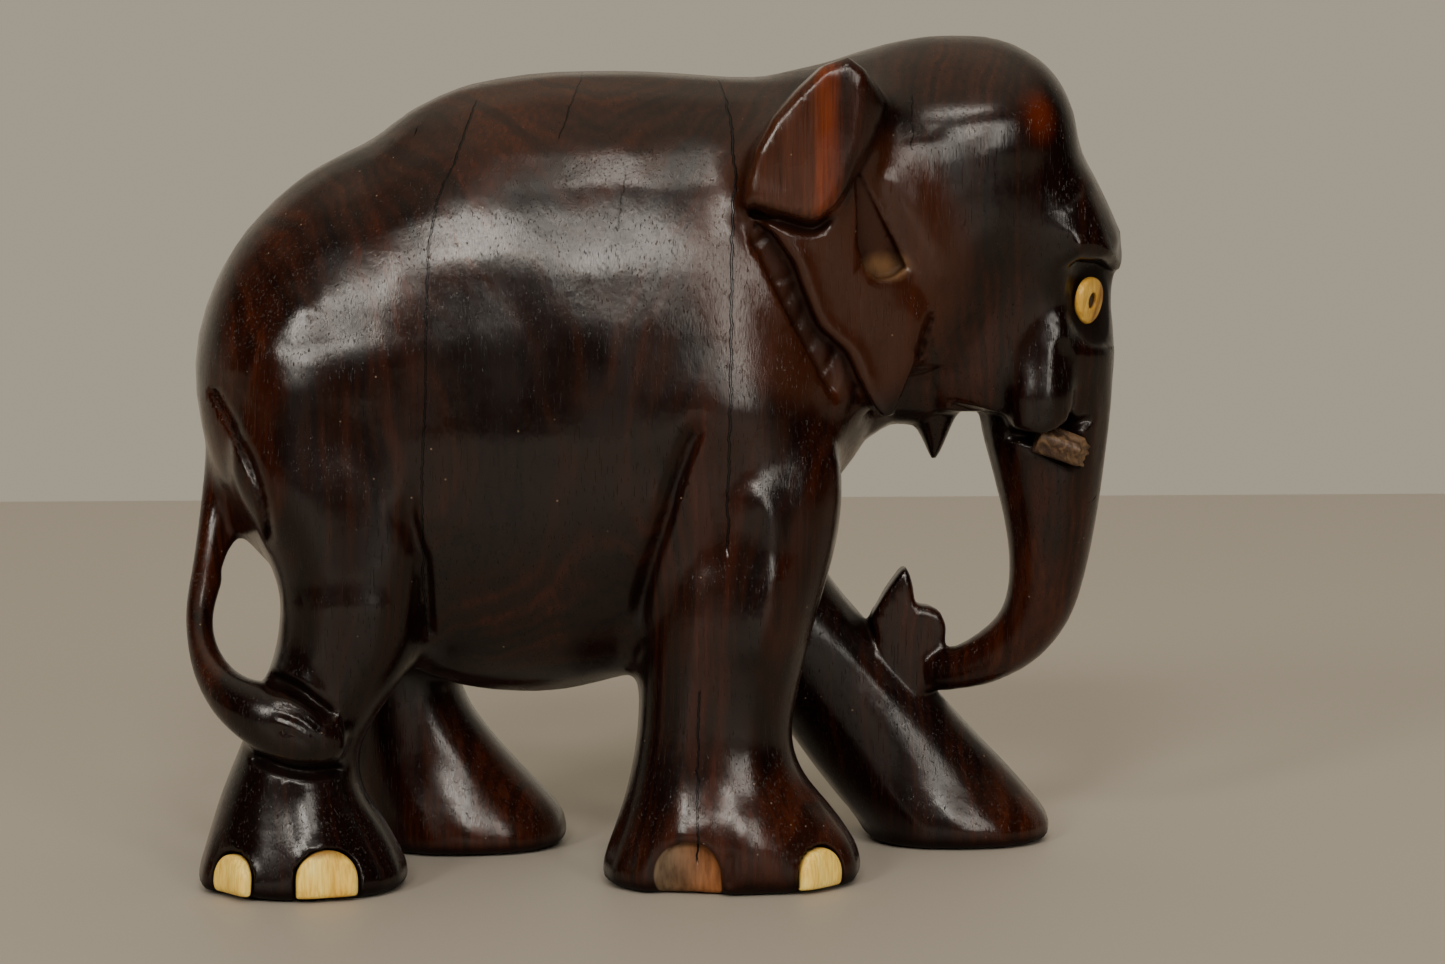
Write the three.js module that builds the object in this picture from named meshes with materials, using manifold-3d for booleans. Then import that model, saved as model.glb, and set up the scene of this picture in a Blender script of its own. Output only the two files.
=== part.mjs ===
// A carved wooden elephant with bone toenails and bone eyes.
//
// The elephant is cut from one block of dark wood: barrel, head, trunk, ears, tail and four
// striding legs. Bone toenails sit in arched pockets on the outer side of each foot, each over
// a short blind peg. Round bone eyes with dark pupil pegs sit under the brows, and broken tusk
// stubs are left in the tusk sheaths. The nail of the side pocket on the right front foot is lost.
//
// Millimetres. +X is forward, +Y is the animal's left, +Z is up. The origin is the middle of
// the bounding box, on the ground.

import * as THREE from "three";
import { mergeVertices } from "three/addons/utils/BufferGeometryUtils.js";
import Module from "manifold-3d";

// ---- driving dimensions -------------------------------------------------------------------

// Overall sizes of the carving. The stations further down are drawn at the first sizes.
const LENGTH = 130;
const WIDTH = 56;
const HEIGHT = 115.4;

// Toenails and their pockets
const SIDE_NAIL_WIDTH = 8.2;
const SIDE_NAIL_HEIGHT = 6.3;
const END_NAIL_WIDTH = 7;
const END_NAIL_HEIGHT = 5.5;
const NAIL_THICKNESS = 1.6;
const NAIL_BEVEL = 0.25;
const NAIL_LIFT = 0.4; // the nail's lower edge above the ground
const NAIL_LEAN = 0.5; // how much of the foot's slope a nail follows
const NAIL_SUNK = 0.3; // the nail's face below the foot's surface
const END_NAIL_SUNK = 0.7;
const POCKET_CLEARANCE = 0.3; // round and behind a nail
const ARCH_SEGMENTS = 8;

// Blind pegs behind the nails
const PEG_DIAMETER = 0.9;
const PEG_LENGTH = 3.4;
const PEG_PLACE = 0.4; // its height as a share of the nail's
const PEG_ENGAGEMENT = 0.6; // the peg's length inside the nail
const PEG_CLEARANCE = 0.2;

// Eyes
const EYE_DIAMETER = 6.6;
const EYE_THICKNESS = 1.3;
const EYE_LIFT = 0.45; // the disc's face above the socket's floor
const EYE_CLEARANCE = 0.3;
const SOCKET_MARGIN = 0.5; // the socket's floor round the disc
const SOCKET_SLOPE = 1.9; // how much wider the socket is at its rim, each side
const SOCKET_DEPTH = 1.8;
const PUPIL_DIAMETER = 1.3;
const PUPIL_LENGTH = 3.4;
const PUPIL_CLEARANCE = 0.2;

// Broken tusk stubs
const TUSK_DIAMETER = 6;
const TUSK_LENGTH = 8.6;
const TUSK_BREAK = 1.1; // height of the jagged break at the free end
const TUSK_CLEARANCE = 0.3;

// ---- solids -------------------------------------------------------------------------------

const DRAWN = { length: 130, width: 56, height: 115.4 };
const SCALE_X = LENGTH / DRAWN.length;
const SCALE_Y = WIDTH / DRAWN.width;
const SCALE_Z = HEIGHT / DRAWN.height;

const wasm = await Module();
wasm.setup();

function solid(geometry) {
  const bare = geometry.index ? geometry.toNonIndexed() : geometry.clone();
  bare.deleteAttribute("normal");
  bare.deleteAttribute("uv");
  const merged = mergeVertices(bare, 1e-4);
  return new wasm.Manifold(
    new wasm.Mesh({
      numProp: 3,
      vertProperties: merged.attributes.position.array,
      triVerts: new Uint32Array(merged.index.array),
    }),
  );
}

function geometryOf(manifold) {
  const mesh = manifold.getMesh();
  const geometry = new THREE.BufferGeometry();
  geometry.setAttribute("position", new THREE.BufferAttribute(mesh.vertProperties, 3));
  geometry.setIndex(new THREE.BufferAttribute(mesh.triVerts, 1));
  geometry.computeVertexNormals();
  return geometry;
}

function union(solids) {
  return solids.reduce((whole, piece) => whole.add(piece));
}

// The mirror image of a solid in the animal's middle plane.
function mirrored(manifold) {
  const geometry = geometryOf(manifold).toNonIndexed();
  const position = geometry.attributes.position;
  for (let i = 0; i < position.count; i += 3) {
    const corners = [0, 2, 1].map((k) => new THREE.Vector3().fromBufferAttribute(position, i + k));
    corners.forEach((corner, k) => position.setXYZ(i + k, corner.x, -corner.y, corner.z));
  }
  return solid(geometry);
}

// A closed skin over rings of equal point count, with a flat fan over each end.
function skin(rings) {
  const count = rings[0].length;
  const positions = rings.flat().flatMap((p) => p.toArray());
  const faces = [];
  for (let r = 0; r < rings.length - 1; r++) {
    for (let i = 0; i < count; i++) {
      const a = r * count + i;
      const b = r * count + ((i + 1) % count);
      faces.push(a, b, b + count, a, b + count, a + count);
    }
  }
  for (const [ring, first] of [[rings[0], 0], [rings.at(-1), (rings.length - 1) * count]]) {
    const hub = positions.length / 3;
    const middle = ring.reduce((sum, p) => sum.add(p), new THREE.Vector3()).divideScalar(count);
    positions.push(...middle.toArray());
    for (let i = 0; i < count; i++) {
      const pair = [first + i, first + ((i + 1) % count)];
      if (first === 0) pair.reverse();
      faces.push(pair[0], pair[1], hub);
    }
  }
  if (signedVolume(positions, faces) < 0) faces.reverse();
  const geometry = new THREE.BufferGeometry();
  geometry.setAttribute("position", new THREE.Float32BufferAttribute(positions, 3));
  geometry.setIndex(faces);
  return solid(geometry);
}

function signedVolume(positions, faces) {
  let volume = 0;
  for (let f = 0; f < faces.length; f += 3) {
    const [a, b, c] = [0, 1, 2].map((k) => new THREE.Vector3().fromArray(positions, 3 * faces[f + k]));
    volume += a.dot(b.cross(c)) / 6;
  }
  return volume;
}

// Stations are rows of numbers. Between two of them, `steps` rows are interpolated smoothly.
function interpolated(stations, steps) {
  const curve = new THREE.CubicInterpolant(stations.map((_, i) => i), stations.flat(), stations[0].length);
  const last = stations.length - 1;
  return Array.from({ length: last * steps + 1 }, (_, i) => Array.from(curve.evaluate(i / steps)));
}

const signedPower = (value, power) => Math.sign(value) * Math.abs(value) ** power;

// A point on a superellipse: 2 is an ellipse, higher is squarer.
function superellipse(turn, power) {
  return [signedPower(Math.cos(turn), 2 / power), signedPower(Math.sin(turn), 2 / power)];
}

const turns = (count) => Array.from({ length: count }, (_, i) => (2 * Math.PI * i) / count);

const at = (x, y, z) => new THREE.Vector3(x * SCALE_X, y * SCALE_Y, z * SCALE_Z);

// Upright cross-sections along X. A station is [x, top, bottom, height of the widest, half width].
function barrel(stations, { steps = 2, points = 28, power = 2.2 } = {}) {
  return skin(
    interpolated(stations, steps).map(([x, top, bottom, middle, half]) =>
      turns(points).map((turn) => {
        const [across, up] = superellipse(turn, power);
        return at(x, half * across, middle + up * (up > 0 ? top - middle : middle - bottom));
      }),
    ),
  );
}

// A point of a level cross-section. A station is [z, front, back, x of the widest, y, half width].
function levelPoint([z, front, back, widest, y, half], turn, power) {
  const [along, across] = superellipse(turn, power);
  return at(widest + along * (along > 0 ? front - widest : widest - back), y + half * across, z);
}

function column(stations, { steps = 2, points = 16, power = 2.3 } = {}) {
  return skin(interpolated(stations, steps).map((row) => turns(points).map((turn) => levelPoint(row, turn, power))));
}

// A round, tapering limb along a smooth path. A station is [x, y, z, radius in X-Z, radius in Y].
function limb(stations, { steps = 2, points = 14 } = {}) {
  const rows = interpolated(stations, steps);
  const centres = rows.map(([x, y, z]) => new THREE.Vector3(x, y, z));
  const path = new THREE.CatmullRomCurve3(centres);
  return skin(
    rows.map(([, , , flat, deep], i) => {
      const along = path.getTangent(i / (rows.length - 1));
      const side = new THREE.Vector3(0, 1, 0).addScaledVector(along, -along.y).normalize();
      const out = new THREE.Vector3().crossVectors(along, side);
      return turns(points).map((turn) => {
        const p = centres[i].clone();
        p.addScaledVector(out, flat * Math.cos(turn)).addScaledVector(side, deep * Math.sin(turn));
        return at(p.x, p.y, p.z);
      });
    }),
  );
}

// A plate with an outline drawn in X-Z. `outer` and `inner` give the Y of its two faces.
function plate(outline, outer, inner) {
  const shape = new THREE.Shape(outline.map(([x, z]) => new THREE.Vector2(x, z)));
  const geometry = new THREE.ExtrudeGeometry(shape, { depth: 1, bevelEnabled: false });
  const position = geometry.attributes.position;
  for (let i = 0; i < position.count; i++) {
    const [x, z, face] = [position.getX(i), position.getY(i), position.getZ(i)];
    const p = at(x, face > 0.5 ? outer(x, z) : inner(x, z), z);
    position.setXYZ(i, p.x, p.y, p.z);
  }
  return solid(geometry);
}

// The solid of a geometry that is drawn with +Z pointing out of a surface and +Y up it.
function placed(geometry, frame) {
  return solid(geometry.clone().applyMatrix4(frame));
}

function surfaceFrame(point, outward, upward) {
  const side = new THREE.Vector3().crossVectors(upward, outward).normalize();
  const up = new THREE.Vector3().crossVectors(outward, side).normalize();
  const frame = new THREE.Matrix4().makeBasis(side, up, outward.clone().normalize());
  return frame.setPosition(point);
}

// A cylinder along +Z from `from` to `to`.
function rod(diameter, from, to, sides = 16) {
  const geometry = new THREE.CylinderGeometry(diameter / 2, diameter / 2, to - from, sides);
  return geometry.rotateX(Math.PI / 2).translate(0, 0, (from + to) / 2);
}

// ---- the block of wood --------------------------------------------------------------------

const torso = barrel([
  [-63.1, 72, 66, 69, 3.5],
  [-62.2, 75.6, 61, 68, 8.5],
  [-60.2, 81.6, 54, 67, 12.8],
  [-56.6, 87.8, 47.5, 66, 16.6],
  [-51, 93.6, 41, 64, 20],
  [-44, 98.5, 35, 62, 22.4],
  [-38.6, 101, 31, 61, 23.6],
  [-34, 104.6, 28, 60.5, 24.3],
  [-27, 108.2, 25.2, 60, 24.8],
  [-17, 110, 24, 60, 25.2],
  [-7, 110.6, 25.6, 60.5, 25.1],
  [3, 110.2, 29.5, 62, 24.4],
  [12, 109.7, 36, 65, 22.8],
  [19.5, 109.4, 45, 69, 20],
  [25.5, 107, 53.5, 74, 16],
  [29.4, 102, 59, 78, 11],
  [31, 96, 66, 80, 5],
], { power: 2.35 });

const skull = barrel([
  [10, 106, 78, 92, 13],
  [15, 109.4, 74, 90, 16.4],
  [20, 110.6, 71, 89, 17.6],
  [25, 111.9, 68, 88.5, 17.8],
  [30.5, 113.9, 66, 88.5, 17.4],
  [36, 115.1, 66, 89, 17],
  [41.5, 115.4, 68, 90, 16.6],
  [47, 115.1, 73, 92, 15.9],
  [51.5, 113.5, 79, 95, 14.4],
  [55, 111, 86, 98.5, 12],
  [57.2, 107.6, 92, 100.5, 8.8],
  [58, 104, 97, 101, 4.5],
], { points: 22, power: 2.3 });

const FACE_POWER = 2.15;
const face = [
  [106, 57.6, 34, 46, 0, 9],
  [102, 58.2, 31, 46, 0, 12.5],
  [98.7, 59.6, 29, 46.5, 0, 14.2],
  [95.3, 61.8, 28, 47.5, 0, 15],
  [91.8, 63.5, 28, 49, 0, 15.1],
  [88.3, 65, 28, 50.5, 0, 14.6],
  [84.8, 65.6, 28, 51, 0, 14],
  [82.2, 65.2, 28, 51, 0, 13.2],
  [79.6, 64.4, 28.5, 51, 0, 12.5],
  [75.7, 64.5, 29.5, 51, 0, 12],
  [71.5, 64.7, 31, 51, 0, 11.6],
  [67, 64.5, 33, 51, 0, 10.8],
  [63.2, 64.4, 36, 52, 0, 9.6],
];

const throat = barrel([
  [24, 84, 59.6, 72, 9],
  [29, 84, 58.6, 72, 9],
  [33, 82, 61.2, 71, 8.6],
  [38, 80, 60.8, 70, 8],
  [42, 78, 62.6, 69, 7.4],
  [45, 76, 64.5, 69, 6.6],
], { points: 16 });

const jaw = column([
  [67, 45, 33.5, 39, 0, 5.6],
  [63.6, 43.1, 35, 39, 0, 4.9],
  [61, 41.8, 36.6, 39, 0, 3.8],
  [58.6, 40.8, 37.9, 39.1, 0, 2.5],
  [56.6, 39.9, 38.7, 39.2, 0, 1.2],
  [55.4, 39.4, 39, 39.2, 0, 0.35],
], { steps: 2, points: 12 });

const trunk = limb([
  [55, 0, 72, 9.6, 10.2],
  [55, 0, 66, 9.5, 9.8],
  [55.1, 0, 61, 9.2, 9],
  [55.4, 0, 56.5, 8.3, 8.2],
  [55.7, 0, 51.5, 7.3, 7.3],
  [55.8, 0.2, 46, 6.3, 6.4],
  [55.6, 0.8, 40.6, 5.5, 5.6],
  [54.6, 2, 35.2, 4.9, 5],
  [52.2, 3.6, 30.8, 4.3, 4.5],
  [48.6, 5.6, 27.8, 3.8, 4],
  [44.6, 7.6, 25.9, 3.2, 3.6],
  [40.6, 9.4, 25, 2.8, 3.2],
], { steps: 2, points: 14 });

// The swelling that carries the right tusk, cut off flat at its lower end.
const tuskSheath = column([
  [84, 57, 51, 54, -7, 2.5],
  [79, 58, 49, 53.6, -7.6, 4],
  [73, 58, 48.6, 53.3, -8, 4.9],
  [67, 57.8, 48.7, 53.2, -8.2, 5],
  [61.2, 57.7, 48.7, 53.2, -8.2, 4.7],
], { points: 14 });

// Legs, from the hip or shoulder down to the sole.
const LEG_POWER = 2.25;
const legs = {
  right_front: [
    [67, 18, 8, 13, -14, 5.4],
    [60, 24, 4, 13, -14.6, 8],
    [52, 25, 0.6, 12, -14.8, 9.6],
    [44, 23.6, -1.4, 11, -15, 10.3],
    [36, 21.5, -2.2, 10, -15, 10.5],
    [30, 20, -2.6, 9, -15, 10],
    [24.6, 18.8, -2.9, 8, -15, 9.7],
    [19.2, 18.2, -3.4, 7.6, -15, 9.8],
    [14.4, 20, -4.2, 8, -15, 10.5],
    [10.6, 23.3, -5.2, 8.8, -15, 11.4],
    [5.6, 26.8, -7, 9.6, -15, 12.6],
    [2, 27.8, -8, 9.8, -15, 13],
    [0, 27.4, -8, 9.8, -15, 12.7],
  ],
  right_hind: [
    [70, -32, -52, -42, -13, 6.5],
    [63, -30, -57, -43, -13.4, 9.4],
    [56, -29.6, -57.6, -43.4, -14, 10.9],
    [49, -30.2, -55, -42.6, -14.6, 11.2],
    [42, -30.8, -51.4, -41.2, -15, 11],
    [34, -31.3, -51.4, -41.4, -15, 10.5],
    [27.5, -35, -53, -44.2, -15, 9.9],
    [20, -40, -56.2, -48, -15, 9.4],
    [13.6, -40.2, -58.8, -49.4, -15, 9.9],
    [9, -37.2, -60.4, -48.9, -15, 10.9],
    [4.6, -34.8, -61.8, -48.4, -15, 12.2],
    [1.6, -33.8, -62.6, -48.2, -15, 12.8],
    [0, -34, -62.4, -48.2, -15, 12.5],
  ],
  left_front: [
    [64, 14, 0, 8, 13, 6],
    [58, 18.4, -2, 9, 13.6, 8.6],
    [50, 21.5, -1.2, 10.4, 14.4, 10],
    [43, 23.6, 0.4, 12, 15, 10.2],
    [36, 28, 4, 16, 15, 10],
    [30, 33.6, 8.4, 21, 15, 9.8],
    [24, 39.6, 13, 26.4, 15, 9.6],
    [17.6, 45.6, 18.6, 32.2, 15, 9.6],
    [11, 52, 23.4, 37.6, 15, 10.2],
    [6, 56.4, 27.4, 41.6, 15, 11.6],
    [2.6, 58.6, 30.2, 44, 15, 12.6],
    [0, 58.4, 31.2, 44.6, 15, 12.4],
  ],
  left_hind: [
    [68, -32, -52, -42, 13, 6.5],
    [60, -29.4, -55.4, -42.4, 13.6, 9.6],
    [52, -28.4, -54.6, -41.6, 14.4, 11],
    [44, -28, -52, -40, 15, 11],
    [35, -28.2, -48.6, -38.4, 15, 10.4],
    [28, -28.6, -46, -37, 15, 9.8],
    [21.4, -26.2, -45.4, -35.4, 15, 9.4],
    [15, -21.8, -44.6, -33, 15, 9.6],
    [9.6, -16.8, -43.2, -30, 15, 10.6],
    [5.4, -12.8, -41.4, -27.2, 15, 12],
    [2.2, -11.8, -40.4, -26, 15, 12.8],
    [0, -12.1, -40, -26, 15, 12.5],
  ],
};

const tail = limb([
  [-56.6, 0, 66, 3, 4],
  [-58.6, -0.6, 60, 3.2, 3.8],
  [-59.4, -1.6, 54, 3.1, 3.4],
  [-60.2, -3.4, 48, 2.8, 3],
  [-61.3, -6, 42, 2.5, 2.7],
  [-62.3, -9.4, 36.4, 2.2, 2.4],
  [-61.4, -13.4, 31.6, 2.3, 2.4],
  [-59, -18, 28, 3, 2.6],
  [-55.6, -22.4, 25.6, 4, 2.9],
  [-51.6, -24.8, 23.9, 4.9, 3.1],
  [-47.4, -25, 22, 4.7, 3.1],
  [-43.8, -24, 20.6, 3, 2.6],
  [-42, -23.4, 20, 1.4, 1.6],
], { steps: 2, points: 10 });

// The lower part of the ear lies on the neck and runs forward into the head.
const earOutline = [
  [11.4, 91.8], [15.2, 87.8], [17.9, 84.2], [19.4, 80.2], [21.4, 75.6], [25.2, 72.2], [27, 68.4],
  [28.6, 65.2], [30, 63.4], [31.2, 63.8], [32.8, 66.4], [34.5, 70.4], [36.3, 76.2], [36, 84],
  [33, 92], [31, 99], [28, 102], [19, 98], [13, 96],
];
const earOuter = (x, z) => -23.6 + 0.27 * (x - 14) + 0.03 * (90 - z);
const ear = plate(earOutline, earOuter, () => -11);

// Its upper part is turned out and down over it, as a thick flap with a sharp lower edge.
const flapOutline = [
  [11.1, 91.7], [11.5, 95], [12.7, 99], [15, 102.9], [18.3, 106.6], [21.6, 109.7], [23.4, 110.8],
  [25.2, 110.8], [26.9, 109.7], [28.8, 107.4], [30.6, 105], [30, 102.2], [28.3, 99.3], [25.6, 95.4],
  [23, 91.8], [21.3, 90.1], [19.2, 89.6], [15.7, 90.6],
];
const flapOuter = (x, z) => -25.6 + 0.29 * (z - 90) + 0.1 * (x - 20);
const flap = plate(flapOutline, flapOuter, (x, z) => flapOuter(x, z) + 7);

// A sprig of leaves that the trunk's tip holds against the left front leg.
const sprigOutline = [
  [31.4, 33], [33.7, 36.9], [36.6, 41], [37.6, 37.6], [37.9, 34.5], [39.8, 34.7], [41.5, 33.8],
  [42.4, 31.6], [42.2, 29.2], [41.2, 27.2], [44.4, 26.4], [43.4, 22.4], [38, 22], [33, 27],
];
const sprig = plate(sprigOutline, () => 7.6, () => 12.4);

// ---- inlays -------------------------------------------------------------------------------

// A frame on a foot's surface at the middle of a nail's lower edge, with the nail's lowest
// corner at NAIL_LIFT. The turn is from straight ahead towards +Y, and the skew turns the nail
// further round than the surface.
function footFrame({ leg, turn: turnDegrees, skew = 0, height, depth }) {
  const turn = THREE.MathUtils.degToRad(turnDegrees);
  const middle = NAIL_LIFT + height / 2;
  const surface = (z, angle) => {
    const rows = interpolated(legs[leg], 40);
    const row = rows.reduce((best, r) =>
      Math.abs(r[0] * SCALE_Z - z) < Math.abs(best[0] * SCALE_Z - z) ? r : best);
    return levelPoint(row, angle, LEG_POWER);
  };
  const small = 0.05;
  const point = surface(middle, turn);
  const side = surface(middle, turn + small).sub(surface(middle, turn - small)).setZ(0).normalize();
  side.applyAxisAngle(new THREE.Vector3(0, 0, 1), THREE.MathUtils.degToRad(skew));
  const slope = surface(NAIL_LIFT + height, turn).sub(surface(NAIL_LIFT, turn));
  slope.multiply(new THREE.Vector3(NAIL_LEAN, NAIL_LEAN, 1));
  const upward = slope.addScaledVector(side, -slope.dot(side)).normalize();
  const outward = new THREE.Vector3().crossVectors(side, upward);
  const lowest = NAIL_LIFT + depth * outward.z;
  point.addScaledVector(upward, (lowest - point.z) / upward.z);
  return surfaceFrame(point, outward, upward);
}

// A flat-bottomed arch, `grow` larger at its sides and top and `drop` lower.
function archShape(width, height, grow, drop) {
  const half = width / 2 + grow;
  const spring = height * 0.4;
  const shape = new THREE.Shape();
  shape.moveTo(-half, -drop);
  shape.lineTo(half, -drop);
  shape.lineTo(half, spring);
  shape.absellipse(0, spring, half, height + grow - spring, 0, Math.PI, false);
  shape.closePath();
  return shape;
}

function nailAndPocket({ width, height, sunk = NAIL_SUNK, ...place }) {
  const back = -sunk - NAIL_THICKNESS;
  const frame = footFrame({ ...place, height, depth: -back });
  const nailShape = archShape(width, height, -NAIL_BEVEL, -NAIL_BEVEL);
  const nailGeometry = new THREE.ExtrudeGeometry(nailShape, {
    depth: NAIL_THICKNESS - 2 * NAIL_BEVEL,
    bevelSize: NAIL_BEVEL,
    bevelThickness: NAIL_BEVEL,
    bevelSegments: 1,
    curveSegments: ARCH_SEGMENTS,
  }).translate(0, 0, back + NAIL_BEVEL);
  const pocketDepth = sunk + NAIL_THICKNESS + POCKET_CLEARANCE;
  const pocketGeometry = new THREE.ExtrudeGeometry(
    archShape(width, height, POCKET_CLEARANCE, NAIL_LIFT + 1),
    { depth: pocketDepth + 4, bevelEnabled: false, curveSegments: ARCH_SEGMENTS },
  ).translate(0, 0, -pocketDepth);
  const pegHeight = height * PEG_PLACE;
  const pegEnd = back + PEG_ENGAGEMENT;
  const pegGeometry = rod(PEG_DIAMETER, pegEnd - PEG_LENGTH, pegEnd, 8).translate(0, pegHeight, 0);
  const holeGeometry = rod(
    PEG_DIAMETER + 2 * PEG_CLEARANCE,
    pegEnd - PEG_LENGTH - PEG_CLEARANCE,
    pegEnd + PEG_CLEARANCE,
    8,
  ).translate(0, pegHeight, 0);
  const hole = placed(holeGeometry, frame);
  return {
    nail: placed(nailGeometry, frame).subtract(hole),
    peg: placed(pegGeometry, frame),
    cut: placed(pocketGeometry, frame).add(hole),
  };
}

const sideNail = { width: SIDE_NAIL_WIDTH, height: SIDE_NAIL_HEIGHT };
const endNail = { width: END_NAIL_WIDTH, height: END_NAIL_HEIGHT, sunk: END_NAIL_SUNK };

// Turns are from straight ahead, towards the left; the right feet have negative turns.
const nails = {
  right_front_toenail: { leg: "right_front", turn: -50, skew: 10, ...endNail },
  right_front_side_toenail: { leg: "right_front", turn: -111, ...sideNail, lost: true },
  right_hind_toenail: { leg: "right_hind", turn: -76, ...sideNail },
  right_hind_rear_toenail: { leg: "right_hind", turn: -132, skew: -16, ...endNail },
  left_front_toenail: { leg: "left_front", turn: 52, skew: -8, ...endNail },
  left_front_side_toenail: { leg: "left_front", turn: 104, ...sideNail },
  left_hind_toenail: { leg: "left_hind", turn: 76, ...sideNail },
  left_hind_rear_toenail: { leg: "left_hind", turn: 134, skew: 14, ...endNail },
};

// The right eye faces forwards and out, and a little down, below the brow.
const EYE_HEIGHT = 78.8;
const EYE_TURN = -49;
const EYE_FACING = THREE.MathUtils.degToRad(47);
const EYE_DROOP = 0.14;

function eyeFrame() {
  const row = interpolated(face, 12).reduce((best, r) =>
    Math.abs(r[0] - EYE_HEIGHT) < Math.abs(best[0] - EYE_HEIGHT) ? r : best);
  const point = levelPoint(row, THREE.MathUtils.degToRad(EYE_TURN), FACE_POWER);
  const outward = new THREE.Vector3(Math.sin(EYE_FACING), -Math.cos(EYE_FACING), -EYE_DROOP).normalize();
  return surfaceFrame(point, outward, new THREE.Vector3(0, 0, 1));
}

function rightEye() {
  const frame = eyeFrame();
  const floor = -SOCKET_DEPTH;
  const faceOut = floor + EYE_LIFT;
  const back = faceOut - EYE_THICKNESS;
  const chamfer = EYE_THICKNESS / 3;
  const radius = EYE_DIAMETER / 2;
  const disc = new THREE.LatheGeometry([
    new THREE.Vector2(0, back),
    new THREE.Vector2(radius, back),
    new THREE.Vector2(radius, faceOut - chamfer),
    new THREE.Vector2(radius - chamfer, faceOut),
    new THREE.Vector2(0, faceOut + chamfer / 2),
  ], 20).rotateX(Math.PI / 2);
  const floorRadius = radius + SOCKET_MARGIN;
  const dish = new THREE.LatheGeometry([
    new THREE.Vector2(0, floor),
    new THREE.Vector2(floorRadius, floor),
    new THREE.Vector2(floorRadius + 2 * SOCKET_SLOPE, SOCKET_DEPTH),
    new THREE.Vector2(0, SOCKET_DEPTH),
  ], 20).rotateX(Math.PI / 2);
  const seat = rod(EYE_DIAMETER + 2 * EYE_CLEARANCE, back - EYE_CLEARANCE, faceOut, 20);
  const pupilOut = faceOut + chamfer;
  const pupilHole = placed(
    rod(PUPIL_DIAMETER + 2 * PUPIL_CLEARANCE, pupilOut - PUPIL_LENGTH - PUPIL_CLEARANCE, pupilOut + 2, 14),
    frame,
  );
  return {
    disc: placed(disc, frame).subtract(pupilHole),
    pupil: placed(rod(PUPIL_DIAMETER, pupilOut - PUPIL_LENGTH, pupilOut, 14), frame),
    cut: union([placed(dish, frame), placed(seat, frame), pupilHole]),
  };
}

// The right tusk points forwards and down out of its sheath, and ends in a break.
const TUSK_ROOT = at(51.9, -8.9, 63.8);
const TUSK_AIM = new THREE.Vector3(0.66, -0.14, -0.74).normalize();

function rightTusk() {
  const frame = surfaceFrame(TUSK_ROOT, TUSK_AIM, new THREE.Vector3(0, 1, 0));
  const stub = rod(TUSK_DIAMETER, 0, TUSK_LENGTH, 18).toNonIndexed();
  const position = stub.attributes.position;
  for (let i = 0; i < position.count; i++) {
    if (position.getZ(i) < TUSK_LENGTH / 2) continue;
    const [x, y] = [position.getX(i), position.getY(i)];
    const jag = 0.5 * Math.sin(1.7 * x + 1) + 0.5 * Math.cos(2.3 * y + x);
    position.setZ(i, TUSK_LENGTH + TUSK_BREAK * jag);
  }
  const socket = rod(TUSK_DIAMETER + 2 * TUSK_CLEARANCE, -TUSK_CLEARANCE, TUSK_LENGTH + 4, 18);
  return { stub: placed(stub, frame), cut: placed(socket, frame) };
}

// ---- assembly -----------------------------------------------------------------------------

const wood = new THREE.MeshStandardMaterial({ color: 0x2a0f0a, roughness: 0.32, metalness: 0 });
const bone = new THREE.MeshStandardMaterial({ color: 0xd9bd72, roughness: 0.45, metalness: 0 });
const stainedBone = new THREE.MeshStandardMaterial({ color: 0x8a6a4c, roughness: 0.7, metalness: 0 });
const pegWood = new THREE.MeshStandardMaterial({ color: 0x6b3c20, roughness: 0.7, metalness: 0 });
const horn = new THREE.MeshStandardMaterial({ color: 0x140c08, roughness: 0.3, metalness: 0 });

const elephant = new THREE.Group();

function addPiece(name, manifold, material) {
  const mesh = new THREE.Mesh(geometryOf(manifold), material.clone());
  mesh.name = name;
  elephant.add(mesh);
}

const eye = rightEye();
const tusk = rightTusk();
const cuts = [eye.cut, mirrored(eye.cut), tusk.cut, mirrored(tusk.cut)];
for (const [name, place] of Object.entries(nails)) {
  const { nail, peg, cut } = nailAndPocket(place);
  cuts.push(cut);
  if (place.lost) continue;
  addPiece(name, nail, bone);
  addPiece(name.replace("toenail", "nail_peg"), peg, pegWood);
}

const sheaths = [tuskSheath, mirrored(tuskSheath)];
const ears = [ear, flap, mirrored(ear), mirrored(flap)];
const legSolids = Object.values(legs).map((stations) => column(stations, { power: LEG_POWER }));
const block = union([
  torso,
  skull,
  column(face, { points: 22, power: FACE_POWER }),
  throat,
  jaw,
  trunk,
  tail,
  sprig,
  ...sheaths,
  ...ears,
  ...legSolids,
]);
addPiece("carved_body", block.subtract(union(cuts)), wood);
addPiece("right_eye", eye.disc, bone);
addPiece("left_eye", mirrored(eye.disc), bone);
addPiece("right_pupil", eye.pupil, horn);
addPiece("left_pupil", mirrored(eye.pupil), horn);
addPiece("right_tusk_stub", tusk.stub, stainedBone);
addPiece("left_tusk_stub", mirrored(tusk.stub), stainedBone);

const bounds = new THREE.Box3().setFromObject(elephant);
const middle = bounds.getCenter(new THREE.Vector3());
elephant.position.set(-middle.x, -middle.y, -bounds.min.z);

export default elephant;
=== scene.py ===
"""A carved elephant in dark polished wood, with inlaid bone nails and eyes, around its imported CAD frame.

The body is carved here in a block of signed distances, in millimetres. +X is towards the head, -Y is the
elephant's right side and +Z is up.
"""

import math

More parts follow.
